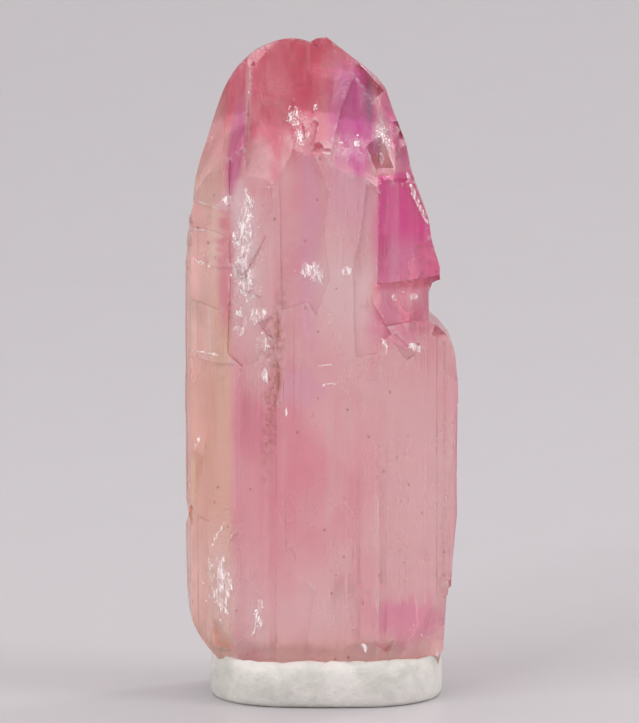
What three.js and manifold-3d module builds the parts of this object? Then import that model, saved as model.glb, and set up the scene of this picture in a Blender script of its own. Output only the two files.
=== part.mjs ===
// A rough pink zoisite crystal, the gem called tanzanite, that stands upright in a pressed pad of display
// putty. Millimetres, +Z up, with the crystal's broad striated side facing -Y. The origin is under the
// crystal's middle, on the flat underside of the pad.
import * as THREE from "three";
import { mergeVertices } from "three/addons/utils/BufferGeometryUtils.js";
import Module from "manifold-3d";

const wasm = await Module();
wasm.setup();

// Driving dimensions
// The crystal's own heights run from its foot to its tip, and it is then pushed down into the putty
const CRYSTAL_TOP = 25.5; // the tip
const FOOT_LEVEL = 1.5; // the broken foot
const PUSHED_DOWN = 0.25; // how far those heights come down to stand on the table's
const HALF_WIDTH = 5.24; // half the crystal's width, side to side
const HALF_DEPTH = 3.3; // half its thickness, front to back
const PAD_CENTRE_X = 0.2;
const PAD_HALF_WIDTH = 4.5;
const PAD_HALF_DEPTH = 4.0;
const PAD_HEIGHT = 1.85; // at the lip pressed up round the foot
const SOCKET_GAP = 0.3; // clearance between the pad's lip and the crystal
const FAR = 40; // longer than anything here, for cutting blocks
const SHORTEST_EDGE = 0.03;
const THINNEST = 0.006; // the least height of a triangle

// Growth striations on the prism faces
const STRIP_WIDTH = 0.4; // the mean width of one growth strip
const STRIP_RELIEF = 0.035; // how far a strip may lie below its neighbour
const STRIP_EDGE = 0.012; // half the width of the slope between two strips, as a share of the face

const UP = new THREE.Vector3(0, 0, 1);

// A repeatable random number from 0 to 1
function seededRandom(seed) {
  let state = seed;
  return () => {
    state = (state * 1664525 + 1013904223) % 4294967296;
    return state / 4294967296;
  };
}

// Solids from three.js geometry, and back
function solidFrom(geometry) {
  const bare = geometry.clone();
  bare.deleteAttribute("normal");
  bare.deleteAttribute("uv");
  const merged = mergeVertices(bare, 1e-4);
  return new wasm.Manifold(
    new wasm.Mesh({
      numProp: 3,
      vertProperties: new Float32Array(merged.attributes.position.array),
      triVerts: new Uint32Array(merged.index.array),
    }),
  );
}

function geometryFrom(solid) {
  const { vertProperties, triVerts } = solid.getMesh();
  const points = [];
  for (let i = 0; i < vertProperties.length; i += 3) {
    points.push(new THREE.Vector3().fromArray(vertProperties, i));
  }
  const faces = [];
  for (let i = 0; i < triVerts.length; i += 3) faces.push([...triVerts.slice(i, i + 3)]);
  const corners = closeSlivers(points, faces).flatMap((face) => face.map((p) => points[p]));
  const geometry = new THREE.BufferGeometry().setFromPoints(corners);
  geometry.computeVertexNormals();
  return geometry;
}

// Where two cuts cross at a shallow angle they leave edges and slivers too small to see. Short edges are
// drawn together to a point, and a sliver's long edge is turned to run between the other two corners.
function closeSlivers(points, faces) {
  const live = new Set(faces.keys());
  const around = points.map(() => new Set());
  const attach = (f) => faces[f].forEach((p) => around[p].add(f));
  const detach = (f) => faces[f].forEach((p) => around[p].delete(f));
  faces.forEach((_, f) => attach(f));

  const crossOf = ([a, b, c]) => {
    const ab = new THREE.Vector3().subVectors(points[b], points[a]);
    return ab.cross(new THREE.Vector3().subVectors(points[c], points[a]));
  };
  const edgesOf = ([a, b, c]) => [[a, b, c], [b, c, a], [c, a, b]];
  const lengthOf = ([a, b]) => points[a].distanceTo(points[b]);
  const heightOf = (face) => crossOf(face).length() / Math.max(...edgesOf(face).map(lengthOf));
  const turned = (before, after) => crossOf(before).normalize().dot(crossOf(after).normalize()) < 0.95;
  const neighbours = (p) => new Set([...around[p]].flatMap((f) => faces[f]).filter((q) => q !== p));

  const drawTogether = (from, to) => {
    const near = neighbours(to);
    const shared = [...around[from]].filter((f) => around[to].has(f));
    const common = [...neighbours(from)].filter((p) => near.has(p));
    if (shared.length !== 2 || common.length !== 2) return false;
    const moved = [...around[from]].filter((f) => !around[to].has(f));
    const after = moved.map((f) => faces[f].map((p) => (p === from ? to : p)));
    const spoilt = moved.some(
      (f, i) =>
        heightOf(after[i]) < Math.min(THINNEST, heightOf(faces[f])) ||
        (heightOf(faces[f]) > THINNEST && turned(faces[f], after[i])),
    );
    if (spoilt) return false;
    [...shared, ...moved].forEach(detach);
    shared.forEach((f) => live.delete(f));
    moved.forEach((f, i) => {
      faces[f] = after[i];
      attach(f);
    });
    return true;
  };

  const longer = (one, other) => (lengthOf(other) > lengthOf(one) ? other : one);
  const turnLongEdge = (f) => {
    const [a, b, c] = edgesOf(faces[f]).reduce(longer);
    const other = [...around[a]].find((g) => g !== f && around[b].has(g));
    const d = faces[other].find((p) => p !== a && p !== b);
    const pair = [[a, d, c], [d, b, c]];
    const low = Math.min(heightOf(faces[f]), heightOf(faces[other]));
    const worse = pair.some((face) => heightOf(face) <= low || turned(faces[other], face));
    if (worse || neighbours(c).has(d)) return false;
    [f, other].forEach(detach);
    [faces[f], faces[other]] = pair;
    [f, other].forEach(attach);
    return true;
  };

  for (let changed = true, round = 0; changed && round < 12; round++) {
    changed = false;
    for (const f of [...live]) {
      if (!live.has(f)) continue;
      const short = edgesOf(faces[f]).filter((edge) => lengthOf(edge) < SHORTEST_EDGE);
      if (short.some(([a, b]) => drawTogether(a, b) || drawTogether(b, a))) changed = true;
      else if (heightOf(faces[f]) < THINNEST && turnLongEdge(f)) changed = true;
    }
  }
  return [...live].map((f) => faces[f]);
}

function shapeFrom(points) {
  return new THREE.Shape(points.map(([x, y]) => new THREE.Vector2(x, y)));
}

// A shape drawn in plan, made into a solid between two heights
function uprightPrism(shape, low, high) {
  const geometry = new THREE.ExtrudeGeometry(shape, { depth: high - low, bevelEnabled: false });
  geometry.translate(0, 0, low);
  return solidFrom(geometry);
}

// A shape drawn as seen from the front, in X and Z, made into a solid through the crystal's whole thickness
function frontPrism(shape) {
  const geometry = new THREE.ExtrudeGeometry(shape, { depth: FAR, bevelEnabled: false, curveSegments: 9 });
  geometry.rotateX(Math.PI / 2);
  geometry.translate(0, FAR / 2, 0);
  return solidFrom(geometry);
}

// All the space beyond the plane through the point, on the side that it faces
function spaceBeyond({ point, facing }) {
  const block = new THREE.BoxGeometry(FAR, FAR, FAR);
  block.translate(0, 0, FAR / 2);
  const direction = new THREE.Vector3(...facing).normalize();
  block.applyQuaternion(new THREE.Quaternion().setFromUnitVectors(UP, direction));
  block.translate(...point);
  return solidFrom(block);
}

// A growth layer that stops short: its outline is drawn on an upright face, as distance along the face from
// the point and height, and the layer is taken off to the given depth
function peelLayer(solid, { point, facing, outline, depth }) {
  const normal = new THREE.Vector3(facing[0], facing[1], 0).normalize();
  const along = new THREE.Vector3().crossVectors(UP, normal);
  const geometry = new THREE.ExtrudeGeometry(shapeFrom(outline), { depth: FAR / 4, bevelEnabled: false });
  geometry.translate(0, 0, -depth);
  geometry.applyMatrix4(new THREE.Matrix4().makeBasis(along, UP, normal));
  geometry.translate(point[0], point[1], 0);
  return solid.subtract(solidFrom(geometry));
}

// A chip: brittle stone breaks in flat, slanting steps, so a chip is the hollow left by an uneven block
function chipOut(solid, { centre, radii, turn = [0, 0, 0] }, index) {
  const random = seededRandom(31 + index);
  const block = new THREE.BoxGeometry(2, 2, 2);
  block.deleteAttribute("normal");
  block.deleteAttribute("uv");
  const uneven = mergeVertices(block, 1e-4);
  const position = uneven.attributes.position;
  for (let i = 0; i < position.count; i++) {
    const reach = () => 0.55 + 0.5 * random();
    position.setXYZ(i, position.getX(i) * reach(), position.getY(i) * reach(), position.getZ(i) * reach());
  }
  uneven.scale(...radii);
  uneven.applyMatrix4(new THREE.Matrix4().makeRotationFromEuler(new THREE.Euler(...turn)));
  uneven.translate(...centre);
  return solid.subtract(solidFrom(uneven));
}

// The crystal's cross-section in plan: its prism faces, and a slight groove in front
const SECTION_CORNERS = [
  [-HALF_WIDTH - 0.05, 0.5],
  [-4.95, -1.15],
  [-3.45, -2.75],
  [-1.98, -3.12],
  [-1.72, -3.07],
  [-1.34, -3.2],
  [2.08, -HALF_DEPTH],
  [2.2, -3.18],
  [4.75, -2.42],
  [HALF_WIDTH + 0.05, -1.25],
  [HALF_WIDTH + 0.05, 1.0],
  [4.2, 2.55],
  [1.55, HALF_DEPTH],
  [1.4, 3.05],
  [-2.3, HALF_DEPTH],
  [-4.25, 2.3],
];

// Each prism face becomes a row of narrow vertical strips, some a little lower than others
function striatedSection() {
  const random = seededRandom(7);
  const points = [];
  SECTION_CORNERS.forEach(([x0, y0], i) => {
    const [x1, y1] = SECTION_CORNERS[(i + 1) % SECTION_CORNERS.length];
    const length = Math.hypot(x1 - x0, y1 - y0);
    const inward = [-(y1 - y0) / length, (x1 - x0) / length];
    const strips = Math.round(length / STRIP_WIDTH);
    points.push([x0, y0]);
    let set = STRIP_RELIEF * random();
    for (let k = 1; strips > 2 && k < strips; k++) {
      const mark = (k + 0.55 * (random() - 0.5)) / strips;
      const next = STRIP_RELIEF * random();
      for (const [share, inset] of [
        [mark - STRIP_EDGE, set],
        [mark + STRIP_EDGE, next],
      ]) {
        points.push([x0 + (x1 - x0) * share + inward[0] * inset, y0 + (y1 - y0) * share + inward[1] * inset]);
      }
      set = next;
    }
  });
  return shapeFrom(points);
}

// The outline from the front: up the left flank from the foot, over the domed head, down the right flank
function frontOutline() {
  const s = new THREE.Shape();
  s.moveTo(-3.3, FOOT_LEVEL);
  s.lineTo(-3.95, 1.8);
  s.lineTo(-4.5, 2.42);
  s.quadraticCurveTo(-5.1, 3.1, -5.18, 4.3);
  s.lineTo(-5.21, 6.75);
  s.lineTo(-5.08, 7.2);
  s.lineTo(-5.22, 7.75);
  s.lineTo(-HALF_WIDTH, 15.7);
  s.quadraticCurveTo(-5.22, 17.6, -5.02, 18.76);
  s.lineTo(-4.94, 18.9);
  s.lineTo(-4.8, 20.1);
  s.quadraticCurveTo(-4.5, 21.4, -3.88, 23.1);
  s.bezierCurveTo(-3.5, 24.25, -2.8, 25.2, -1.3, CRYSTAL_TOP - 0.03);
  s.quadraticCurveTo(-0.75, CRYSTAL_TOP - 0.02, -0.42, 25.31);
  s.lineTo(-0.18, CRYSTAL_TOP - 0.05);
  s.lineTo(0.22, CRYSTAL_TOP);
  s.lineTo(2.08, 24.03);
  s.lineTo(2.46, 23.57);
  s.lineTo(2.66, 22.98);
  s.lineTo(3.25, 21.45);
  s.lineTo(3.46, 20.4);
  s.lineTo(3.78, 19.5);
  s.lineTo(4.1, 18.6);
  s.lineTo(4.18, 17.95);
  s.lineTo(4.5, 16.9);
  s.lineTo(4.53, 16.38);
  s.lineTo(4.24, 16.26);
  s.lineTo(4.1, 15.9);
  s.lineTo(4.12, 14.9);
  s.quadraticCurveTo(5.05, 14.3, 5.13, 13.33);
  s.lineTo(HALF_WIDTH, 12.25);
  s.lineTo(HALF_WIDTH, 7.6);
  s.lineTo(5.02, 5.3);
  s.lineTo(5.0, 4.5);
  s.lineTo(4.78, 4.28);
  s.lineTo(4.7, 2.36);
  s.lineTo(4.5, FOOT_LEVEL);
  s.closePath();
  return s;
}

// The flat faces that slope in to the head, and the breaks that narrow the foot
const HEAD_FACES = [
  { point: [-1.0, -3.15, 21.4], facing: [-0.06, -0.79, 0.61] },
  { point: [-1.4, -1.2, 24.5], facing: [-0.28, -0.62, 0.73] },
  { point: [1.2, -3.2, 20.8], facing: [0.36, -0.76, 0.54] },
  { point: [1.9, -1.5, 23.15], facing: [0.66, -0.5, 0.56] },
  { point: [1.2, -0.75, 24.35], facing: [0.52, -0.62, 0.6] },
  { point: [-3.75, -2.1, 21.5], facing: [-0.55, -0.66, 0.51] },
  { point: [-4.45, -0.9, 21.0], facing: [-0.86, -0.38, 0.34] },
  { point: [0.2, 3.2, 20.9], facing: [0.08, 0.85, 0.52] },
  { point: [-0.6, 1.9, 24.2], facing: [-0.1, 0.62, 0.78] },
  { point: [-3.3, 2.5, 20.9], facing: [-0.58, 0.68, 0.45] },
  { point: [2.5, 2.7, 19.8], facing: [0.66, 0.66, 0.36] },
  { point: [3.3, 1.2, 20.6], facing: [0.82, 0.42, 0.38] },
];

const FOOT_FACES = [
  { point: [-3.3, -2.2, FOOT_LEVEL], facing: [-0.62, -0.6, -0.5] },
  { point: [-3.2, 2.3, FOOT_LEVEL], facing: [-0.6, 0.62, -0.5] },
  { point: [3.7, -2.15, FOOT_LEVEL], facing: [0.62, -0.74, -0.25] },
  { point: [3.6, 2.05, FOOT_LEVEL], facing: [0.6, 0.74, -0.3] },
  { point: [0.4, 3.0, FOOT_LEVEL], facing: [0.12, 0.9, -0.42] },
];

// Patches of the head that broke off a little deeper, each outlined as seen from the front
const SUNK_PATCHES = [
  {
    outline: [[-2.85, 20.15], [-1.75, 20.05], [-1.45, 20.7], [-0.85, 21.9], [-1.2, 24.2], [-2.75, 24.2]],
    point: [-2.2, -3.0, 20.2],
    facing: [-0.12, -0.9, 0.42],
  },
  {
    outline: [[-5, 20.4], [-3.3, 21.3], [-2.95, 22.6], [-2.78, 25], [-5, 25]],
    point: [-3.4, -2.62, 21.45],
    facing: [-0.36, -0.72, 0.58],
  },
  {
    outline: [[0.3, 21.1], [0.8, 20.6], [2.3, 20.3], [2.7, 24.4], [1.3, 24.2], [0.75, 22.9]],
    point: [1.2, -2.98, 20.8],
    facing: [0.24, -0.8, 0.54],
  },
  {
    outline: [[-1.45, 21.6], [-0.35, 21.2], [-0.1, 22.4], [-0.75, 23.1]],
    point: [-0.7, -2.86, 21.7],
    facing: [0.3, -0.86, 0.4],
  },
  {
    outline: [[0.25, 24.3], [0.45, 25.6], [2.4, 23.5], [1.9, 23.1]],
    point: [1.2, -0.6, 24.3],
    facing: [0.66, -0.42, 0.62],
  },
];

function sinkPatch(solid, patch) {
  return solid.subtract(spaceBeyond(patch).intersect(frontPrism(shapeFrom(patch.outline))));
}

// Growth layers that stop part of the way up or across a face, as ledges
const FRONT = { point: [0, -3.22], facing: [0, -1] };
const FRONT_LEFT = { point: [-2.7, -2.92], facing: [-0.22, -0.98] };
const LEFT_FLANK = { point: [-4.2, -1.95], facing: [-0.73, -0.68] };
const RIGHT = { point: [HALF_WIDTH, 0], facing: [1, 0] };
const BACK = { point: [0, 3.18], facing: [0, 1] };
const BACK_RIGHT = { point: [2.9, 2.92], facing: [0.27, 0.963] };
const BACK_LEFT = { point: [-3.3, 2.8], facing: [-0.46, 0.89] };
const LEFT = { point: [-5.25, 0.6], facing: [-1, 0.1] };

const LAYERS = [
  // front
  {
    ...FRONT,
    depth: 0.14,
    outline: [
      [-1.5, 15.4], [-0.5, 15.7], [-0.2, 15.2], [0.35, 16.6], [0.1, 18.3], [0.3, 19.9], [-0.4, 21.6], [-1.6, 22],
    ],
  },
  {
    ...FRONT,
    depth: 0.09,
    outline: [[-1.4, 17.3], [-0.9, 17.1], [-0.7, 20.2], [-1.1, 22], [-1.6, 22]],
  },
  {
    ...FRONT,
    depth: 0.06,
    outline: [[-1.6, 1], [-0.4, 1], [-0.5, 3.0], [-0.2, 4.6], [-0.8, 5.2], [-1.1, 6.4], [-1.6, 6.0]],
  },
  {
    ...FRONT,
    depth: 0.1,
    outline: [[1.3, 13.6], [2.3, 13.8], [2.3, 19.7], [1.7, 20.2], [1.5, 18.4], [1.2, 17.0]],
  },
  // front left of the groove
  {
    ...FRONT_LEFT,
    depth: 0.2,
    outline: [
      [-0.9, 13.7], [-0.3, 13.2], [0.2, 13.4], [0.8, 14.2], [0.3, 14.9], [0.5, 15.9], [-0.2, 16.1], [-0.8, 16.6],
    ],
  },
  {
    ...FRONT_LEFT,
    depth: 0.07,
    outline: [[-0.9, 1], [0.3, 1], [0.2, 3.2], [0.4, 4.4], [-0.3, 5.2], [-0.5, 6.9], [-0.9, 6.4]],
  },
  {
    ...FRONT_LEFT,
    depth: 0.1,
    outline: [[-0.8, 17.2], [-0.1, 17.0], [0.6, 17.7], [0.5, 18.5], [0.9, 19.2], [0.7, 21.9], [-0.8, 22]],
  },
  // left flank
  {
    ...LEFT_FLANK,
    depth: 0.13,
    outline: [[-1.3, 7.3], [-0.2, 7.1], [1.3, 7.9], [1.3, 13.3], [0.2, 13.25], [-1.3, 13.4]],
  },
  {
    ...LEFT_FLANK,
    depth: 0.1,
    outline: [[-1.3, 15.6], [0.4, 15.3], [1.3, 15.9], [1.3, 17.0], [0.3, 16.9], [-1.3, 17.4]],
  },
  {
    ...LEFT_FLANK,
    depth: 0.08,
    outline: [[-1.3, 18.3], [0.1, 18.3], [1.3, 18.0], [1.3, 19.0], [-1.3, 19.4]],
  },
  // right side
  {
    ...RIGHT,
    depth: 0.16,
    outline: [[-1.4, 5.9], [0.3, 5.2], [1.2, 6.4], [1.1, 11.4], [0.1, 12.3], [-1.4, 11.6]],
  },
  {
    ...RIGHT,
    depth: 0.3,
    outline: [[-0.6, 7.4], [0.2, 6.9], [0.6, 8.2], [0.5, 10.1], [-0.3, 10.7]],
  },
  // back
  {
    ...BACK,
    depth: 0.16,
    outline: [
      [-2.3, 9.2], [-1.2, 8.1], [-0.4, 8.9], [0.9, 8.8], [0.8, 12.0], [1.1, 15.2], [-0.4, 16.8], [-2.3, 15.9],
    ],
  },
  {
    ...BACK,
    depth: 0.1,
    outline: [[-1.5, 1], [1.6, 1], [2.0, 4.8], [1.2, 4.5], [0.6, 6.1], [-0.4, 4.9], [-1.2, 5.4]],
  },
  {
    ...BACK_RIGHT,
    depth: 0.14,
    outline: [[-1.5, 4.9], [-0.3, 5.6], [1.5, 5.8], [1.5, 12.2], [-0.2, 13.9], [-0.6, 12.4], [-1.5, 12.7]],
  },
  {
    ...BACK_LEFT,
    depth: 0.13,
    outline: [[-1.2, 10.2], [0.5, 9.5], [1.4, 11.0], [1.2, 18.2], [0.2, 17.2], [-1.2, 18.9]],
  },
  {
    ...LEFT,
    depth: 0.08,
    outline: [[-1.2, 4.4], [1.4, 4.9], [1.4, 10.3], [0.2, 11.2], [-1.2, 10.6]],
  },
  {
    ...LEFT,
    depth: 0.08,
    outline: [[-1.5, 13.1], [0.4, 12.4], [1.6, 13.6], [1.6, 17.8], [-0.6, 17.0], [-1.5, 17.9]],
  },
  {
    ...BACK,
    depth: 0.24,
    outline: [[-0.9, 10.3], [0.6, 9.9], [0.7, 13.1], [-0.3, 14.0], [-1.0, 13.0]],
  },
  {
    ...BACK,
    depth: 0.1,
    outline: [[-2.3, 17.6], [0.3, 18.3], [1.4, 17.4], [1.5, 21], [-2.3, 21]],
  },
];

// Chips along the edges, most of them where the head and the flanks broke
const CHIPS = [
  // round the head
  { centre: [-0.8, -3.0, 22.6], radii: [0.45, 0.35, 0.7], turn: [0.6, 0.3, 0.4] },
  { centre: [-0.2, -3.2, 21.6], radii: [0.3, 0.3, 0.35], turn: [0.5, -0.5, 0.2] },
  { centre: [1.1, -3.3, 21.35], radii: [1.0, 0.4, 0.35], turn: [0.6, 0.25, 0.1] },
  { centre: [-0.42, 0.1, 25.85], radii: [0.42, 2.4, 0.6], turn: [0.2, 0.5, 0.4] },
  { centre: [2.35, -2.6, 22.0], radii: [0.4, 0.6, 1.7], turn: [0.25, 0.15, 0.6] },
  { centre: [3.1, -1.9, 21.2], radii: [0.3, 0.6, 0.6], turn: [0.3, 0.3, 0.3] },
  { centre: [3.3, -1.2, 21.9], radii: [0.4, 0.9, 0.7], turn: [0.5, 0.4, 0.9] },
  { centre: [1.3, 2.9, 23.0], radii: [2.1, 0.9, 1.0], turn: [0.6, 0.2, 0.3] },
  { centre: [-2.9, 1.9, 24.4], radii: [1.5, 1.2, 0.8], turn: [-0.5, -0.5, 0.4] },
  // feathered breaks on the front
  { centre: [-2.75, -3.3, 17.6], radii: [0.7, 0.35, 1.2], turn: [0.2, 0.5, 0.3] },
  { centre: [-3.4, -3.1, 15.7], radii: [0.6, 0.5, 0.7], turn: [0.4, 0.6, -0.3] },
  { centre: [-2.3, -3.4, 14.9], radii: [0.7, 0.42, 0.45], turn: [0.5, 0.5, 0.4] },
  { centre: [-3.55, -3.0, 19.5], radii: [0.35, 0.4, 1.2], turn: [0.1, 0.3, 0.6] },
  // left edge and foot
  { centre: [-4.3, -2.7, 3.8], radii: [0.6, 0.6, 1.8], turn: [0.1, -0.3, 0.6] },
  { centre: [-5.1, -1.5, 7.1], radii: [0.4, 1.0, 0.35], turn: [0.4, 0.3, 0.2] },
  { centre: [-5.35, 0.9, 18.9], radii: [0.45, 1.2, 0.8], turn: [0.5, 0, 0.3] },
  // right side, from the notch down
  { centre: [4.9, -2.45, 14.4], radii: [0.8, 0.6, 0.4], turn: [0.3, 0.5, 0.4] },
  { centre: [2.15, -3.35, 15.0], radii: [0.4, 0.35, 0.8], turn: [0.2, -0.5, 0.5] },
  { centre: [3.1, -3.15, 13.9], radii: [0.25, 0.4, 0.8], turn: [0.3, -0.7, 0.2] },
  { centre: [5.15, -2.0, 4.4], radii: [0.4, 0.9, 0.6], turn: [0.4, 0.2, 0.6] },
  { centre: [4.6, -2.4, 1.9], radii: [0.6, 0.6, 0.9], turn: [0.4, 0.5, 0.5] },
  { centre: [2.5, -3.4, 2.6], radii: [0.5, 0.35, 0.4], turn: [0.5, 0.8, 0.3] },
  // back
  { centre: [3.6, 3.1, 15.6], radii: [1.9, 1.0, 2.2], turn: [0.3, 0.5, 0.6] },
  { centre: [-4.5, 2.7, 7.4], radii: [1.1, 0.8, 2.3], turn: [0.2, 0.3, -0.6] },
  { centre: [1.5, 3.6, 3.4], radii: [1.6, 0.55, 1.2], turn: [0.3, 0.5, 0.2] },
  { centre: [-1.9, 3.6, 19.2], radii: [1.3, 0.5, 1.7], turn: [0.3, -0.4, 0.2] },
];

// The break at the upper right: a flat recess beside the front face, ending below in a spike, and under it
// a narrow neck between the spike and the shoulder. Each is drawn in plan and cut away between two heights.
const SPIKE_LEVEL = 16.36;
const BREAKS = [
  {
    plan: [[2.1, -2.86], [2.12, -FAR / 4], [FAR / 4, -FAR / 4], [4.72, -1.72]],
    low: SPIKE_LEVEL,
    high: 20.3,
    tip: 0.04,
  },
  {
    plan: [[2.4, -2.45], [2.42, -FAR / 4], [FAR / 4, -FAR / 4], [4.6, -1.45]],
    low: 14.75,
    high: SPIKE_LEVEL,
    tip: -0.1,
  },
  {
    plan: [[4.45, 1.1], [6, -1.4], [7, 5], [2.4, 2.6]],
    low: 14.2,
    high: 17.4,
    tip: 0.12,
  },
  {
    plan: [[2.7, -1.5], [3.0, -FAR / 4], [FAR / 4, -FAR / 4], [4.3, 0.6]],
    low: 20.2,
    high: 24,
    tip: 0.1,
  },
];

function breakAway(solid, { plan, low, high, tip }) {
  const block = new THREE.ExtrudeGeometry(shapeFrom(plan), { depth: high - low, bevelEnabled: false });
  block.translate(-plan[0][0], -plan[0][1], 0);
  block.rotateY(tip);
  block.translate(plan[0][0], plan[0][1], low);
  return solid.subtract(solidFrom(block));
}

// The open groove in front, between two growth layers
const GROOVE = { x: -1.64, low: 11.8, high: 15.4, width: 0.22, depth: 0.24 };

function grooveCut() {
  const bar = new THREE.BoxGeometry(GROOVE.width, GROOVE.depth, GROOVE.high - GROOVE.low, 1, 1, 8);
  const position = bar.attributes.position;
  for (let i = 0; i < position.count; i++) {
    const share = position.getZ(i) / (GROOVE.high - GROOVE.low) + 0.5;
    position.setX(i, position.getX(i) * (0.35 + Math.sin(Math.PI * share)) + 0.09 * Math.sin(9 * share));
  }
  bar.rotateZ(Math.PI / 4);
  bar.translate(GROOVE.x, -3.2, (GROOVE.high + GROOVE.low) / 2);
  return solidFrom(bar);
}

function crystalSolid() {
  let solid = uprightPrism(striatedSection(), FOOT_LEVEL, CRYSTAL_TOP + 1);
  solid = solid.intersect(frontPrism(frontOutline()));
  for (const face of [...HEAD_FACES, ...FOOT_FACES]) solid = solid.subtract(spaceBeyond(face));
  for (const patch of SUNK_PATCHES) solid = sinkPatch(solid, patch);
  for (const part of BREAKS) solid = breakAway(solid, part);
  solid = solid.subtract(grooveCut());
  for (const layer of LAYERS) solid = peelLayer(solid, layer);
  CHIPS.forEach((chip, i) => {
    solid = chipOut(solid, chip, i);
  });
  return solid;
}

// The pad of putty: a ball pressed flat, its lip squeezed up round the foot, with a socket the foot stands in
function padSolid() {
  const profile = new THREE.Path();
  profile.moveTo(0, 0);
  profile.lineTo(PAD_HALF_WIDTH - 0.5, 0);
  profile.bezierCurveTo(PAD_HALF_WIDTH - 0.1, 0.05, PAD_HALF_WIDTH, 0.4, PAD_HALF_WIDTH, 0.85);
  const crown = PAD_HALF_WIDTH - 0.55;
  profile.bezierCurveTo(PAD_HALF_WIDTH, 1.35, PAD_HALF_WIDTH - 0.15, PAD_HEIGHT, crown, PAD_HEIGHT);
  profile.lineTo(0, PAD_HEIGHT);
  const lathe = new THREE.LatheGeometry(profile.getPoints(7), 56);
  lathe.rotateX(Math.PI / 2);
  const position = lathe.attributes.position;
  for (let i = 0; i < position.count; i++) {
    const [x, y, z] = [position.getX(i), position.getY(i), position.getZ(i)];
    const angle = Math.atan2(y, x);
    const reach = Math.hypot(x, y) / PAD_HALF_WIDTH;
    const fullness = (Math.abs(Math.cos(angle)) ** 2.5 + Math.abs(Math.sin(angle)) ** 2.5) ** (-1 / 2.5);
    const bulge = fullness * (1 + 0.016 * Math.sin(3 * angle + 0.8) + 0.009 * Math.sin(7 * angle + 2));
    const lip = z > 1 ? 0.09 * reach * Math.sin(2 * angle + 2.4) * (z - 1) : 0;
    position.setXYZ(i, x * bulge, y * bulge, z + lip);
  }
  lathe.computeBoundingBox();
  const size = lathe.boundingBox.getSize(new THREE.Vector3());
  const middle = lathe.boundingBox.getCenter(new THREE.Vector3());
  lathe.translate(-middle.x, -middle.y, 0);
  lathe.scale((2 * PAD_HALF_WIDTH) / size.x, (2 * PAD_HALF_DEPTH) / size.y, 1);
  lathe.translate(PAD_CENTRE_X, 0, 0);
  const grown = SECTION_CORNERS.map(([x, y]) => [
    x * (1 + SOCKET_GAP / HALF_WIDTH),
    y * (1 + SOCKET_GAP / HALF_DEPTH),
  ]);
  return solidFrom(lathe).subtract(uprightPrism(shapeFrom(grown), FOOT_LEVEL - PUSHED_DOWN, FAR));
}

// Assembly
const zoisite = new THREE.MeshStandardMaterial({ color: 0xd4899b, roughness: 0.18, metalness: 0 });
const putty = new THREE.MeshStandardMaterial({ color: 0xd9d6d0, roughness: 0.75, metalness: 0 });

const specimen = new THREE.Group();
for (const [name, solid, drop, material] of [
  ["crystal", crystalSolid(), PUSHED_DOWN, zoisite],
  ["putty_pad", padSolid(), 0, putty],
]) {
  const mesh = new THREE.Mesh(geometryFrom(solid).translate(0, 0, -drop), material);
  mesh.name = name;
  specimen.add(mesh);
}

export default specimen;
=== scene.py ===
# %% [markdown]
# # A rough tanzanite crystal on display putty
# The real thing is a single pink zoisite crystal, striated along its length, with a domed head and a broken
# shoulder. It stands in a pinch of white putty pressed flat on a pale table. The solids come from the CAD
# frame, in metres, and this script gives them their surfaces, their stone and their light.

# %% Load the frame
import math
import random

import bmesh
import bpy
from mathutils import Euler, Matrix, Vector, noise
from mathutils.bvhtree import BVHTree


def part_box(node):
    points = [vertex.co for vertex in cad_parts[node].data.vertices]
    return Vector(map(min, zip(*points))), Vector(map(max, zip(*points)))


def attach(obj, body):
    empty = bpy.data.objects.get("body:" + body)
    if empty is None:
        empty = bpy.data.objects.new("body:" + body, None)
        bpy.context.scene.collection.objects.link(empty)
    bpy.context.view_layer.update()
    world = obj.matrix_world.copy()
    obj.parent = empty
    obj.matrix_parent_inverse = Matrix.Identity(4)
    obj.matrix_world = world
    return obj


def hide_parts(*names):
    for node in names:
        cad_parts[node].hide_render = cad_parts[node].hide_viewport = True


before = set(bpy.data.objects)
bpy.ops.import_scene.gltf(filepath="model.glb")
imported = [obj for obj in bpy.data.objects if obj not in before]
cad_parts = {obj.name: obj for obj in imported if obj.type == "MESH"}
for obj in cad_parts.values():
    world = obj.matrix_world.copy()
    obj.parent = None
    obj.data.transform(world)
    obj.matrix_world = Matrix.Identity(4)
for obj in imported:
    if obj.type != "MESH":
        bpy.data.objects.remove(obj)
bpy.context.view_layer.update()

MM = 0.001
scene = bpy.context.scene

# %% [markdown]
# ## The crystal's surface
# The CAD solid already has the crystal's flat faces, growth ledges, notch and chips. What it lacks is the
# fine relief: striations along the prism faces, a slight waviness, and rough hackle where the head broke. A
# bump in the shading could stand for it. Here a copy of the mesh is merged and cut into small triangles, and
# each point is moved a few hundredths of a millimetre along its normal, because then the outline and the
# refraction are uneven too, as they are in a natural stone. Only the finest lines stay a bump.

# %% A fine copy of the CAD crystal
LONGEST_EDGE = 0.30 * MM
MERGE_DISTANCE = 0.0002 * MM
FLAT_ANGLE = math.radians(1.5)  # faces that meet at less are one flat face
SHARP_ANGLE = math.radians(20)  # an edge that turns by more is shaded sharp
LEDGE_ANGLE = math.radians(28)  # and one that turns by still more is a ledge, where a pale highlight is painted


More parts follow.
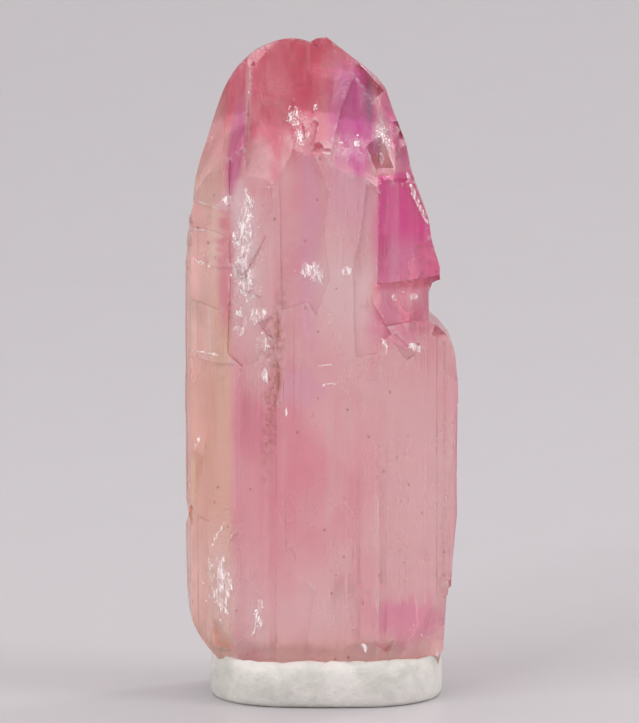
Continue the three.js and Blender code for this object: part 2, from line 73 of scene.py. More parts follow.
def fine_copy(node):
    """The node's mesh, merged, and cut until no edge is longer than the longest edge."""
    bm = bmesh.new()
    bm.from_mesh(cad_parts[node].data)
    bmesh.ops.remove_doubles(bm, verts=bm.verts, dist=MERGE_DISTANCE)
    bmesh.ops.dissolve_limit(bm, angle_limit=FLAT_ANGLE, verts=bm.verts, edges=bm.edges)
    bmesh.ops.triangulate(bm, faces=bm.faces, quad_method="SHORT_EDGE", ngon_method="BEAUTY")
    while True:
        long_edges = [e for e in bm.edges if e.calc_length() > LONGEST_EDGE]
        if not long_edges:
            break
        bmesh.ops.subdivide_edges(bm, edges=long_edges, cuts=1)
        wide = [f for f in bm.faces if len(f.verts) > 3]
        bmesh.ops.triangulate(bm, faces=wide, quad_method="SHORT_EDGE", ngon_method="BEAUTY")
    return bm


crystal_bm = fine_copy("crystal")
crystal_bm.normal_update()
print("crystal:", len(crystal_bm.verts), "points,", len(crystal_bm.faces), "faces")

# %% [markdown]
# Growth striations run along the crystal, so their height changes quickly round it and slowly up it. Noise
# that is squeezed in X and Y and stretched in Z gives just that. Breaks are the opposite: lumpy in every
# direction. Each break is a soft ball, and inside it the hackle grows. The upper left flank has low steps,
# one above the other, and a saw-tooth along Z makes those.

# %% Striations, waviness and hackle
PUSHED_DOWN = 0.25  # in mm: heights on the stone are from before it was pushed this far into the putty
# Each break: its middle, its reach along X, Y and Z, both in mm, and how rough it is
BREAK_ZONES = [
    ((-0.95, -2.9, 22.3), (0.7, 1.4, 1.1), 0.8),
    ((1.1, -2.9, 21.5), (1.2, 1.3, 0.7), 0.7),
    ((2.35, -2.2, 21.7), (0.5, 1.4, 1.1), 0.9),
    ((3.3, -1.8, 15.7), (1.2, 1.3, 0.7), 0.4),
    ((-2.9, -3.0, 17.3), (0.8, 1.2, 3.1), 1.0),
    ((-0.35, -3.2, 16.8), (0.7, 0.8, 0.8), 0.8),
    ((-2.25, -3.1, 13.7), (0.5, 0.8, 1.5), 0.8),
    ((-3.9, -2.5, 4.6), (0.9, 1.2, 1.9), 0.9),
    ((-2.4, -3.0, 3.4), (0.6, 0.8, 1.3), 0.6),
    ((4.5, -1.8, 2.3), (0.9, 1.6, 1.0), 0.6),
    ((3.6, 2.8, 15.6), (2.2, 2.2, 2.2), 0.7),
    ((1.6, 2.9, 22.8), (1.3, 1.2, 1.2), 0.5),
    ((0.0, 3.0, 2.6), (2.2, 2.2, 2.2), 0.6),
]
TERRACE_MIDDLE, TERRACE_REACH = 18.3, 2.0  # along Z, in mm
TERRACE_EDGE = -3.5  # the steps lie to the left of this X, in mm
TERRACE_DEPTH = 0.08  # in mm
TERRACES_PER_MM = 1.25
FINE_DEPTH, BROAD_DEPTH = 0.007, 0.013  # of the striations, in mm
WAVE_DEPTH, HACKLE_DEPTH = 0.03, 0.09  # of the wavy faces and of the breaks, in mm


def own_place(point):
    """A point of the stone, in mm, at the stone's own height."""
    return point / MM + Vector((0, 0, PUSHED_DOWN))


def break_share(p):
    """How much of a break there is at p, in mm, from 0 to 1."""
    most = 0.0
    for middle, reach, strength in BREAK_ZONES:
        near = 1 - Vector(((p[i] - middle[i]) / reach[i] for i in range(3))).length
        if near > 0:
            most = max(most, strength * min(1.0, 1.6 * near))
    return most


def terrace(p):
    """How deep the steps of the upper left flank are at p, in mm."""
    near = max(0.0, 1 - abs(p.z - TERRACE_MIDDLE) / TERRACE_REACH)
    inside = near * min(1.0, max(0.0, TERRACE_EDGE - p.x))
    phase = TERRACES_PER_MM * p.z + 0.2 * p.y + 0.5 * noise.noise(p * 0.9)
    return TERRACE_DEPTH * inside ** 0.5 * (phase % 1.0)


def relief(p, normal, share):
    """How far a point at p, in mm, stands out, in mm."""
    upright = max(0.0, 1 - 2.2 * abs(normal.z))
    fine = noise.noise(Vector((p.x * 3.2, p.y * 3.2, p.z * 0.16)))
    broad = noise.noise(Vector((p.x * 1.9, p.y * 1.9, p.z * 0.09 + 7)))
    wave = noise.noise(p * 0.55 + Vector((3, 5, 9)))
    hackle = noise.multi_fractal(p * 2.1, 0.6, 2.3, 3) - 1.0
    lie = upright * (FINE_DEPTH * fine + BROAD_DEPTH * broad) + WAVE_DEPTH * wave
    return lie * (1 - 0.5 * share) + share * HACKLE_DEPTH * hackle - terrace(p)


# %% [markdown]
# Two things are noted at each point for the material to read later: how broken the stone is there, and
# whether the point is on a ledge. A crystal's faces are flat and its edges crisp, so shading is smooth inside
# a face and sharp across each real edge. In a break the small facets are sharp as well.

# %% Note the breaks and ledges, and move the points
FLAT_FOOT = 0.5 * MM  # the relief fades out towards the underside over this height
BROKEN_FROM = 0.25  # the share of a break from which the small facets are sharp
hackle_note = crystal_bm.verts.layers.float.new("hackle")
ledge_note = crystal_bm.verts.layers.float.new("ledge")
for edge in crystal_bm.edges:
    turn = edge.calc_face_angle(0.0)
    edge.smooth = turn < SHARP_ANGLE
    if turn > LEDGE_ANGLE and edge.is_convex:
        for v in edge.verts:
            v[ledge_note] = 1.0


def steady_normal(v):
    """The normal at a point with its faces weighed by area, so that thin slivers don't turn it."""
    total = sum((face.normal * face.calc_area() for face in v.link_faces), Vector())
    return total.normalized()


foot = min(v.co.z for v in crystal_bm.verts)
moves = []
for v in crystal_bm.verts:
    place = own_place(v.co)
    share = break_share(place)
    v[hackle_note] = share
    settle = min(1.0, (v.co.z - foot) / FLAT_FOOT)
    normal = steady_normal(v)
    moves.append(normal * (relief(place, normal, share) * settle * MM))
for v, move in zip(crystal_bm.verts, moves):
    v.co += move
crystal_bm.normal_update()
for edge in crystal_bm.edges:
    if all(v[hackle_note] > BROKEN_FROM for v in edge.verts):
        edge.smooth = edge.calc_face_angle(0.0) < SHARP_ANGLE
print("points on ledges:", sum(v[ledge_note] > 0 for v in crystal_bm.verts))


# %% The crystal as an object
def finished(name, bm):
    """A mesh object at the origin, shaded smooth except across the edges that are marked sharp."""
    bm.normal_update()
    for face in bm.faces:
        face.smooth = True
    mesh = bpy.data.meshes.new(name)
    bm.to_mesh(mesh)
    bm.free()
    made = bpy.data.objects.new(name, mesh)
    scene.collection.objects.link(made)
    print(name, "has", len(mesh.polygons), "faces")
    return made


crystal_tree = BVHTree.FromBMesh(crystal_bm)
crystal = finished("zoisite_crystal", crystal_bm)

# %% [markdown]
# ## The putty pad
# Display putty is rolled to a ball, set down, and the stone is pushed into it. So the pad is a round profile
# spun about the middle, then drawn out to the pad's own outline and pressed against the crystal's foot all
# round. A ray sent in from each side finds where the foot is. The lip is wavy, as thumbs leave it, and the
# underside is flat.

# %% Spin the pad and press it to the foot
pad_low, pad_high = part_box("putty_pad")
PAD_MIDDLE = (pad_low + pad_high) / 2
PAD_REACH = (pad_high - pad_low) / 2
LIP_START = 0.76  # on the spun profile, where the crystal's side is
# The spun profile: from the underside's middle, round the side and the lip, to the floor under the crystal
PAD_PROFILE = [
    (0.0, 0.0), (0.3, 0.0), (0.6, 0.0), (0.8, 0.0), (0.9, 0.0), (0.945, 0.012), (0.972, 0.05), (0.988, 0.11),
    (0.997, 0.2), (1.0, 0.32), (1.0, 0.45), (0.996, 0.57), (0.986, 0.69), (0.97, 0.79), (0.948, 0.87),
    (0.918, 0.93), (0.885, 0.968), (0.85, 0.992), (0.815, 1.0), (0.785, 0.99), (0.765, 0.96), (0.75, 0.9),
    (0.735, 0.8), (0.7, 0.76), (0.6, 0.75), (0.3, 0.75), (0.0, 0.75),
]
PAD_FULLNESS = 2.5  # 2 would be an ellipse, more is squarer
PAD_STEPS = 240
FOOT_HEIGHT = 1.55 * MM  # where the foot's outline is taken
FAR_OUT = 0.02  # in metres, well beside the stone
LEAST_WALL = 0.30 * MM
SOCKET_GAP = 0.06 * MM


def pad_edge(angle):
    """How far the pad reaches from its middle at that angle, in metres."""
    c, s = math.cos(angle), math.sin(angle)
    full = (abs(c) ** PAD_FULLNESS + abs(s) ** PAD_FULLNESS) ** (-1 / PAD_FULLNESS)
    uneven = 0.998 + 0.012 * noise.noise(Vector((2.0 * c, 2.0 * s, 4.0)))
    return full * uneven * Vector((PAD_REACH.x * c, PAD_REACH.y * s)).length


def foot_edge(angle, height):
    """How far the crystal's foot reaches from the pad's middle at that angle and height, in metres."""
    out = Vector((math.cos(angle), math.sin(angle), 0))
    start = Vector((PAD_MIDDLE.x, PAD_MIDDLE.y, height)) + out * FAR_OUT
    hit = crystal_tree.ray_cast(start, -out)[0]
    return (Vector((hit.x, hit.y)) - PAD_MIDDLE.xy).length if hit else 0.0


pad_bm = bmesh.new()
profile = [pad_bm.verts.new((r, 0, z)) for r, z in PAD_PROFILE]
edges = [pad_bm.edges.new(pair) for pair in zip(profile, profile[1:])]
bmesh.ops.spin(
    pad_bm, geom=profile + edges, cent=(0, 0, 0), axis=(0, 0, 1),
    angle=2 * math.pi, steps=PAD_STEPS, use_merge=True,
)
bmesh.ops.remove_doubles(pad_bm, verts=pad_bm.verts, dist=1e-6)
bmesh.ops.recalc_face_normals(pad_bm, faces=pad_bm.faces)

for v in pad_bm.verts:
    share, height = v.co.xy.length, v.co.z
    angle = math.atan2(v.co.y, v.co.x)
    edge = pad_edge(angle)
    c, s = math.cos(angle), math.sin(angle)
    lip = 0.94 + 0.06 * noise.noise(Vector((1.7 * c, 1.7 * s, 1.0)))
    lip += 0.05 * noise.noise(Vector((4 * c, 4 * s, 2)))
    side = min(foot_edge(angle, FOOT_HEIGHT), edge - LEAST_WALL)
    if share > LIP_START:
        reach = side + (edge - side) * (share - LIP_START) / (1 - LIP_START)
    else:
        reach = (side - SOCKET_GAP) * share / LIP_START
    top = PAD_REACH.z * 2 * lip
    v.co = Vector((PAD_MIDDLE.x + reach * c, PAD_MIDDLE.y + reach * s, height * top))

# %% [markdown]
# Fingers leave shallow flats and dimples, and putty that has been rolled shows small folds. These are soft,
# so they are moved into the mesh, while the grain and the skin lines are left to the material.

# %% Dimple the putty
pad_bm.normal_update()
for v in pad_bm.verts:
    if v.co.z > 0.05 * MM:
        p = v.co / MM
        dent = 0.05 * noise.noise(p * 0.9) + 0.025 * noise.noise(p * 2.6 + Vector((9, 0, 0)))
        fold = abs(noise.noise(Vector((p.x * 0.8, p.y * 0.8, p.z * 3.0 + 11))))
        dent -= 0.05 * max(0.0, 0.12 - fold) / 0.12
        v.co += v.normal * ((dent - 0.01) * min(1.0, p.z / 0.4) * MM)
putty = finished("pressed_putty", pad_bm)

# %% [markdown]
# ## White fractures and painted glints
# Where a crack reaches the surface, air gets in and turns light back, so the stone looks white and feathery
# there: down the left of the front, under the head, along the broken rim and by the foot. White paint in the
# stone's material would look flat, so each feather is a thin torn sheet of its own. It follows the crystal's
# front, and dips in and out of it by a few hundredths of a millimetre. Some of the sheets are painted glints:
# white spots set where the light glints off the stone.

# %% Grow the feathers and the painted glints
SHEET_CELL = 0.04  # in mm
TORN_FROM = 0.95  # how far out from a feather's middle it is torn off, where 1 is its rim
STANDS_OUT, DIPS = 0.014, 0.05  # how far a feather stands out of the front, and dips in and out, in mm
BEFORE_STONE = -20  # along Y, in mm, well in front of the stone
# Each feather or painted glint: X and Z of its middle, its width and height, all in mm, and how far it is
# turned, in radians
FEATHERS_AND_GLINTS = [
    # the head
    # painted glints, not fractures: the next six sheets are white spots where light glints off the head
    (-1.08, 22.65, 0.45, 0.85, 0.2),
    (-0.85, 21.9, 0.28, 0.75, 0.3),
    (-0.22, 22.95, 0.22, 0.3, 0.0),
    (1.35, 21.65, 0.3, 0.25, 0.0),
    (0.77, 21.7, 0.16, 0.2, 0.0),
    (2.25, 21.05, 0.32, 0.5, 0.2),
    (2.3, 21.9, 0.2, 0.8, 0.1),
    # painted glints: two small sparkles on the dome
    (-2.88, 23.9, 0.13, 0.2, 0.0),
    (-2.74, 23.5, 0.1, 0.18, 0.0),
    (-2.1, 20.05, 0.9, 0.1, -0.05),
    # down the left of the front
    (-3.5, 19.45, 0.5, 0.5, -0.5),
    (-2.75, 19.3, 0.55, 1.5, -0.15),
    (-2.95, 18.0, 0.75, 1.7, 0.0),
    (-2.9, 16.8, 0.85, 1.4, 0.1),
    (-2.75, 15.9, 1.0, 0.5, -0.6),
    (-3.1, 14.9, 0.55, 1.1, 0.0),
    (-2.35, 15.2, 0.6, 0.9, -0.2),
    # painted glint: a tall white glint
    (-2.15, 14.0, 0.32, 1.0, 0.0),
    (-2.1, 12.9, 0.3, 0.7, 0.1),
    (-4.35, 13.6, 1.3, 0.13, -0.05),
    (-4.5, 17.0, 0.9, 0.2, -0.2),
    # the middle
    (-0.35, 16.75, 0.85, 0.95, 0.1),
    (0.95, 16.9, 0.55, 0.35, 0.0),
    (0.3, 12.6, 0.9, 0.13, 0.15),
    (0.05, 13.3, 0.8, 0.12, 0.1),
    # painted glints: the next three sheets are white glints on the front
    (-0.32, 11.42, 0.24, 0.42, -0.5),
    (-1.32, 11.5, 0.13, 0.45, 0.0),
    (-2.1, 14.1, 0.24, 0.6, 0.0),
    (-4.73, 10.1, 0.11, 0.65, -0.4),
    (-3.95, 6.7, 0.13, 1.2, -0.5),
    # the broken rim, the neck and the shoulder
    # painted highlights, not fractures: a bright band down the rim's bevel, a rim glint and two sparkles at
    # the neck
    (3.62, 19.5, 0.24, 2.8, 0.4),
    (2.95, 22.1, 0.12, 0.4, 0.4),
    (2.75, 15.75, 0.4, 0.35, 0.0),
    (3.5, 15.75, 0.35, 0.35, 0.0),
    (2.4, 14.0, 0.3, 0.8, 0.4),
    (3.6, 13.9, 0.7, 0.3, -0.3),
    # the foot
    (-3.85, 4.8, 1.0, 2.3, 0.1),
    (-2.4, 3.5, 0.35, 1.6, -0.15),
    (1.65, 2.5, 0.4, 0.4, 0.6),
    # painted highlight: the glint at the corner where the crystal meets the putty
    (4.45, 2.05, 0.25, 0.6, 0.0),
]


def front_point(x, z):
    """The point of the crystal's front at that X and own height, both in mm, or None beside the crystal."""
    return crystal_tree.ray_cast(Vector((x, BEFORE_STONE, z - PUSHED_DOWN)) * MM, Vector((0, 1, 0)))[0]


def feather(bm, number, x, z, width, height, lean):
    """A torn sheet that follows the crystal's front and dips in and out of it."""
    columns, rows = (max(3, round(size / SHEET_CELL)) for size in (width, height))
    c, s = math.cos(lean), math.sin(lean)
    torn = []
    for v in bmesh.ops.create_grid(bm, x_segments=columns, y_segments=rows, size=0.5)["verts"]:
        across, along = v.co.x * width, v.co.y * height
        streak = noise.noise(Vector((across * 7, along * 2.2, number * 3.7)))
        hit = front_point(x + across * c - along * s, z + across * s + along * c)
        if hit is None or 2 * v.co.length + 0.7 * streak > TORN_FROM:
            torn.append(v)
        else:
            dip = DIPS * noise.noise(Vector((across * 3, along * 1.6, number * 1.9 + 40)))
            v.co = hit + Vector((0, dip - STANDS_OUT, 0)) * MM
    bmesh.ops.delete(bm, geom=torn, context="VERTS")


feather_bm = bmesh.new()
for number, each in enumerate(FEATHERS_AND_GLINTS):
    feather(feather_bm, number, *each)
feathers = finished("fracture_feathers_and_glints", feather_bm)

# %% [markdown]
# Broken stone also sparkles. Here the sparkle is painted: small flakes, white in colour and tilted at random,
# stand in for the glints of tiny cleavage facets. They are scattered over the breaks, thickest in the middle
# of each break. The seed is fixed, so that they fall in the same places each time.

# %% Scatter the white facets painted as glints
FLAKES_PER_AREA = 17  # for each square mm of a break's reach along X times that along Z
LEAST_FLAKE, FLAKE_SPREAD = 0.018, 0.06  # the smallest one's reach, and how much the largest adds, in mm
FLAKE_LIFT = 0.01  # in mm
FLAKE_TILT = 0.6  # in radians
flake_random = random.Random(11)


def flake(bm, middle, size):
    """A small flat facet with three to five corners, tilted at random."""
    tilt = Euler([flake_random.uniform(-FLAKE_TILT, FLAKE_TILT) for _ in range(3)]).to_matrix()
    corners = flake_random.choice((3, 4, 5))
    start = flake_random.uniform(0, 2 * math.pi)
    points = []
    for i in range(corners):
        angle = start + 2 * math.pi * i / corners
        reach = size * flake_random.uniform(0.5, 1.0)
        corner = Vector((reach * math.cos(angle), 0, reach * math.sin(angle)))
        points.append(bm.verts.new(middle + tilt @ corner))
    bm.faces.new(points)


flake_bm = bmesh.new()
for middle, reach, strength in BREAK_ZONES:
    if middle[1] > 0:
        continue
    for _ in range(round(FLAKES_PER_AREA * strength * reach[0] * reach[2])):
        x = middle[0] + reach[0] * flake_random.gauss(0, 0.4)
        z = middle[2] + reach[2] * flake_random.gauss(0, 0.4)
        hit = front_point(x, z)
        if hit is not None:
            size = LEAST_FLAKE + FLAKE_SPREAD * flake_random.random() ** 2
            flake(flake_bm, hit - Vector((0, FLAKE_LIFT, 0)) * MM, size * MM)
flakes = finished("painted_glint_facets", flake_bm)

# %% [markdown]
# ## Shared effects
# An effect that more than one material uses is a node group, made once. Here that is grain, a mix of a coarse
# and a fine noise, which the bumps of the stone and of the putty read. The small helpers beside it make one
# node each, so that a material reads as a short list of steps.

# %% The grain group
def node_group(name, inputs, outputs):
    """An empty shader group with those sockets, and its input and output nodes."""
    group = bpy.data.node_groups.new(name, "ShaderNodeTree")
    for title, kind, value in inputs:
        socket = group.interface.new_socket(title, in_out="INPUT", socket_type=kind)
        if value is not None:
            socket.default_value = value
    for title, kind in outputs:
        group.interface.new_socket(title, in_out="OUTPUT", socket_type=kind)
    return group, group.nodes.new("NodeGroupInput"), group.nodes.new("NodeGroupOutput")


def operation_node(tree, kind, operation, values):
    """A node that works on sockets, numbers or vectors."""
    node = tree.nodes.new(kind)
    node.operation = operation
    for socket, value in zip(node.inputs, values):
        if isinstance(value, bpy.types.NodeSocket):
            tree.links.new(value, socket)
        else:
            socket.default_value = value
    return node


def math_node(tree, operation, *values):
    return operation_node(tree, "ShaderNodeMath", operation, values).outputs[0]


def vector_node(tree, operation, *values):
    made = operation_node(tree, "ShaderNodeVectorMath", operation, values)
    return made.outputs["Value" if operation == "LENGTH" else "Vector"]


def noise_node(tree, place, scale, detail=3.0, roughness=0.5):
    node = tree.nodes.new("ShaderNodeTexNoise")
    node.inputs["Scale"].default_value = scale
    node.inputs["Detail"].default_value = detail
    node.inputs["Roughness"].default_value = roughness
    tree.links.new(place, node.inputs["Vector"])
    return node


def make_grain_group():
    inputs = [("Place", "NodeSocketVector", None), ("Fineness", "NodeSocketFloat", 1.0)]
    group, start, end = node_group("grain", inputs, [("Height", "NodeSocketFloat")])
    scaled = group.nodes.new("ShaderNodeVectorMath")
    scaled.operation = "SCALE"
    group.links.new(start.outputs["Place"], scaled.inputs[0])
    group.links.new(start.outputs["Fineness"], scaled.inputs["Scale"])
    coarse = noise_node(group, scaled.outputs[0], 1.0, 2.0, 0.6)
    fine = noise_node(group, scaled.outputs[0], 5.0, 2.0, 0.65)
    both = math_node(group, "MULTIPLY_ADD", fine.outputs[0], 0.5, coarse.outputs[0])
    group.links.new(both, end.inputs["Height"])
    return group


GRAIN = make_grain_group()


def grain_node(tree, place, fineness):
    """The height of the grain at a place. Higher fineness makes smaller grains."""
    node = tree.nodes.new("ShaderNodeGroup")
    node.node_tree = GRAIN
    node.inputs["Fineness"].default_value = fineness
    tree.links.new(place, node.inputs["Place"])
    return node.outputs["Height"]


print("shared group:", GRAIN.name)

# %% [markdown]
# ## The stone
# Zoisite is clear glass to the shader: full of light, index of refraction about 1.69, with a body colour that
# grows with depth. Plain transmission, IOR and absorption give that. Over it, the real crystal is zoned:
# peach down the left, coral in the dome, violet and magenta at the broken right, dusty pink below. A few
# zones are painted light instead: highlights down the left flank, shade under the overhang at the neck,
# and a lightened foot. Each zone is a soft oval or box on the object's own coordinates. Most have their rim
# blurred by noise drawn out along the crystal, as growth zones are. Those that end at a face of the crystal
# keep a straight rim, and those that only the front shows fade out towards the back.

# %% Helpers for materials
def new_material(name):
    material = bpy.data.materials.new(name)
    material.use_nodes = True
    tree = material.node_tree
    return material, tree, tree.nodes["Principled BSDF"]


def stone_place(tree, stretch=(1.0, 1.0, 1.0)):
    """Object coordinates in mm, at the stone's own height, squeezed or drawn out along each axis."""
    coordinates = tree.nodes.new("ShaderNodeTexCoord").outputs["Object"]
    scales = [s / MM for s in stretch]
    return vector_node(tree, "MULTIPLY_ADD", coordinates, scales, (0, 0, PUSHED_DOWN * stretch[2]))


def ramp_node(tree, value, low, high, to_low=0.0, to_high=1.0):
    node = tree.nodes.new("ShaderNodeMapRange")
    node.interpolation_type = "SMOOTHSTEP"
    tree.links.new(value, node.inputs["Value"])
    for title, number in zip(("From Min", "From Max", "To Min", "To Max"), (low, high, to_low, to_high)):
        node.inputs[title].default_value = number
    return node.outputs[0]


def mix_colour(tree, factor, first, second):
    node = tree.nodes.new("ShaderNodeMix")
    node.data_type = "RGBA"
    node.clamp_factor = True
    for title, value in (("Factor", factor), ("A", first), ("B", second)):
        socket = next(s for s in node.inputs if s.name == title and s.enabled)
        if isinstance(value, bpy.types.NodeSocket):
            tree.links.new(value, socket)
        elif isinstance(value, (int, float)):
            socket.default_value = value
        else:
            socket.default_value = (*value, 1.0)
    return next(s for s in node.outputs if s.enabled)


OVAL, BOX = "oval", "box"
THROUGH = 1000.0  # in mm: each zone goes right through the stone, front to back


def zone_share(tree, place, strength, x, z, reach_x, reach_z, feather, lean=0.0, shape=OVAL):
    """How strongly a soft zone shows: at its full strength in the middle, and not at all beyond its rim."""
    if lean:
        turned = tree.nodes.new("ShaderNodeMapping")
        turned.vector_type = "TEXTURE"
        turned.inputs["Location"].default_value = (x, 0, z)
        turned.inputs["Rotation"].default_value = (0, math.atan(lean), 0)
        turned.inputs["Scale"].default_value = (reach_x, THROUGH, reach_z)
        tree.links.new(place, turned.inputs["Vector"])
        local = turned.outputs[0]
    else:
        shrink, shift = (1 / reach_x, 0, 1 / reach_z), (-x / reach_x, 0, -z / reach_z)
        local = vector_node(tree, "MULTIPLY_ADD", place, shrink, shift)
    if shape == OVAL:
        away = vector_node(tree, "LENGTH", local)
    else:
        sides = tree.nodes.new("ShaderNodeSeparateXYZ")
        tree.links.new(vector_node(tree, "ABSOLUTE", local), sides.inputs[0])
        away = math_node(tree, "MAXIMUM", sides.outputs["X"], sides.outputs["Z"])
    return ramp_node(tree, away, 1 - feather, 1 + feather, strength, 0.0)


def noted(tree, name):
    """A number that was noted at the mesh's points."""
    node = tree.nodes.new("ShaderNodeAttribute")
    node.attribute_name = name
    return node.outputs["Fac"]


def bumped(tree, shader, height, strength, distance):
    bump = tree.nodes.new("ShaderNodeBump")
    bump.inputs["Strength"].default_value = strength
    bump.inputs["Distance"].default_value = distance * MM
    tree.links.new(height, bump.inputs["Height"])
    tree.links.new(bump.outputs[0], shader.inputs["Normal"])


# %% The stone's colour zones
DUSTY_PINK = (0.93, 0.50, 0.52)
PALE = (0.96, 0.62, 0.63)
PEACH = (0.94, 0.64, 0.44)
CREAM = (0.98, 0.78, 0.68)
IVORY = (1.00, 0.80, 0.64)
CORAL = (0.83, 0.11, 0.20)
RED = (0.78, 0.06, 0.14)
ROSE = (0.92, 0.32, 0.40)
LILAC = (0.86, 0.42, 0.60)
VIOLET = (0.67, 0.05, 0.35)
PURPLE = (0.72, 0.11, 0.34)
PLUM = (0.26, 0.08, 0.22)
WINE = (0.74, 0.10, 0.34)
CERISE = (0.85, 0.18, 0.32)
BLUSH = (0.99, 0.72, 0.76)
SALMON = (0.97, 0.52, 0.47)
APRICOT = (1.00, 0.58, 0.52)
MAGENTA = (0.86, 0.04, 0.32)
ORCHID = (0.93, 0.27, 0.47)
ASH = (0.66, 0.56, 0.58)
IRON_BROWN = (0.40, 0.19, 0.11)
MILK = (0.98, 0.86, 0.86)

# Each zone: its colour, how strongly it shows, X and Z of its middle, its reach along X and Z, all in mm,
# how soft its rim is, how far it leans to the right for each mm up, and its shape, where it isn't an oval
BLURRED_ZONES = [
    (PALE, 0.75, 3.7, 8.0, 1.75, 5.0, 0.5),
    (PALE, 0.5, -0.5, 4.4, 2.4, 1.9, 0.5),
    (ROSE, 0.6, -1.9, 8.6, 1.6, 3.7, 0.5),
    (CERISE, 0.5, -2.7, 11.2, 0.75, 1.2, 0.4),
    (ROSE, 0.5, -0.4, 9.4, 0.9, 1.4, 0.5),
    (LILAC, 0.5, -0.7, 12.4, 0.8, 0.8, 0.5),
    (LILAC, 0.6, -0.55, 18.0, 0.43, 3.9, 0.5),
    (LILAC, 0.5, 1.2, 19.6, 0.9, 1.6, 0.6),
    (PALE, 0.8, -2.7, 17.0, 0.87, 3.5, 0.4),
    (MILK, 0.6, -2.85, 17.5, 0.42, 2.9, 0.5),
    (PALE, 0.6, 0.9, 16.0, 0.97, 2.8, 0.5),
    (MILK, 0.35, 0.9, 15.7, 1.2, 1.5, 0.6),
    (MAGENTA, 0.8, 3.74, 18.2, 1.6, 2.1, 0.35),
    (SALMON, 0.75, -4.0, 21.4, 0.75, 2.6, 0.4, 0.28),
    (CORAL, 0.95, -1.4, 24.3, 2.8, 3.0, 0.25),
    (CORAL, 0.6, -2.0, 21.6, 0.8, 1.4, 0.5, 0.3),
    (RED, 0.6, -0.3, 24.3, 0.7, 1.2, 0.6, -0.2),
    (ROSE, 0.7, -0.05, 22.4, 0.4, 1.4, 0.5, 0.1),
    (VIOLET, 1.0, 1.2, 22.5, 0.9, 1.85, 0.3, -0.1),
    (ORCHID, 0.6, 1.3, 24.4, 0.8, 0.7, 0.5, -0.5),
    (ORCHID, 0.7, 3.3, 14.9, 1.5, 0.8, 0.4),
    (ORCHID, 0.75, 3.3, 3.2, 1.3, 0.9, 0.3),
    # partly the foot's own peach and partly painted light: the foot is lightened against the shade of the
    # putty socket
    (APRICOT, 0.8, 0.0, 1.4, 9.0, 1.1, 0.5),
    (ROSE, 0.6, -2.6, 1.8, 0.5, 0.7, 0.5),
]
STRAIGHT_ZONES = [
    (PEACH, 0.92, -5.0, 10.5, 1.6, 10.0, 0.1, 0.0, BOX),
    (CREAM, 0.6, -4.3, 4.6, 1.0, 2.2, 0.5),
    (RED, 0.35, -5.25, 9.5, 0.16, 5.0, 0.5, 0.0, BOX),
    (LILAC, 0.6, 5.17, 9.5, 0.14, 4.8, 0.5, 0.0, BOX),
]
FRONT_ZONES = [
    (IVORY, 0.75, -4.65, 17.8, 0.85, 2.8, 0.4, 0.05),
    # painted highlights: two thin ivory bands for the bright vertical streaks of light down the left flank
    (IVORY, 0.95, -4.8, 15.6, 0.16, 2.3, 0.5, 0.0, BOX),
    (IVORY, 0.95, -4.32, 15.3, 0.2, 2.0, 0.5, 0.0, BOX),
    (CERISE, 0.7, -3.62, 17.2, 0.32, 2.5, 0.4),
    (BLUSH, 0.95, -3.55, 19.5, 0.45, 0.4, 0.6),
    (PURPLE, 0.95, -3.2, 21.5, 0.3, 1.8, 0.35, 0.14),
    (PALE, 0.7, -2.76, 23.3, 0.1, 1.85, 0.6),
    (PALE, 0.7, -2.35, 20.9, 0.5, 0.9, 0.4),
    (PLUM, 0.85, 1.82, 23.3, 0.16, 0.9, 0.5),
    (WINE, 0.9, 2.8, 22.2, 0.36, 2.0, 0.4, -0.3),
    (ASH, 0.75, 2.3, 21.8, 0.28, 0.75, 0.5),
    (MAGENTA, 0.96, 3.74, 18.3, 1.6, 2.15, 0.03, 0.0, BOX),
    (LILAC, 0.4, 3.1, 17.1, 0.9, 0.9, 0.6),
    (ORCHID, 0.8, 3.4, 15.7, 1.3, 0.75, 0.3, 0.0, BOX),
    # painted shadow: a dark red band under the overhang of the magenta face, above the neck
    (RED, 0.55, 3.4, 16.25, 1.2, 0.15, 0.5, 0.0, BOX),
]
FRONT_SHARE = (-0.8, 0.4)  # along Y, in mm: front zones are whole before the first, gone after the second

# %% Mix the zones
BLUR_REACH = (1.3, 1.3, 2.4)  # how far the noise may move a zone's rim from one end to the other, in mm

stone, tree, shader = new_material("pink_zoisite_stone")
place = stone_place(tree)
blur = noise_node(tree, stone_place(tree, (0.9, 0.9, 0.16)), 1.0, 3.0, 0.6)
half_back = [-reach / 2 for reach in BLUR_REACH]
centred = vector_node(tree, "MULTIPLY_ADD", blur.outputs["Color"], BLUR_REACH, half_back)
shifted = vector_node(tree, "ADD", place, centred)

clouds = noise_node(tree, stone_place(tree, (0.55, 0.55, 0.4)), 1.0, 3.0, 0.55)
colour = mix_colour(tree, ramp_node(tree, clouds.outputs[0], 0.5, 0.66, 0.0, 0.6), DUSTY_PINK, PALE)
colour = mix_colour(tree, ramp_node(tree, clouds.outputs[0], 0.5, 0.36, 0.0, 0.5), colour, ROSE)
split = tree.nodes.new("ShaderNodeSeparateXYZ")
tree.links.new(place, split.inputs[0])
in_front = ramp_node(tree, split.outputs["Y"], *FRONT_SHARE, 1.0, 0.0)
for zones, zone_place in ((BLURRED_ZONES, shifted), (STRAIGHT_ZONES, place), (FRONT_ZONES, place)):
    for tint, strength, *numbers in zones:
        share = zone_share(tree, zone_place, strength, *numbers)
        if zones is FRONT_ZONES:
            share = math_node(tree, "MULTIPLY", share, in_front)
        colour = mix_colour(tree, share, colour, tint)
print("stone zones:", len(BLURRED_ZONES) + len(STRAIGHT_ZONES) + len(FRONT_ZONES))

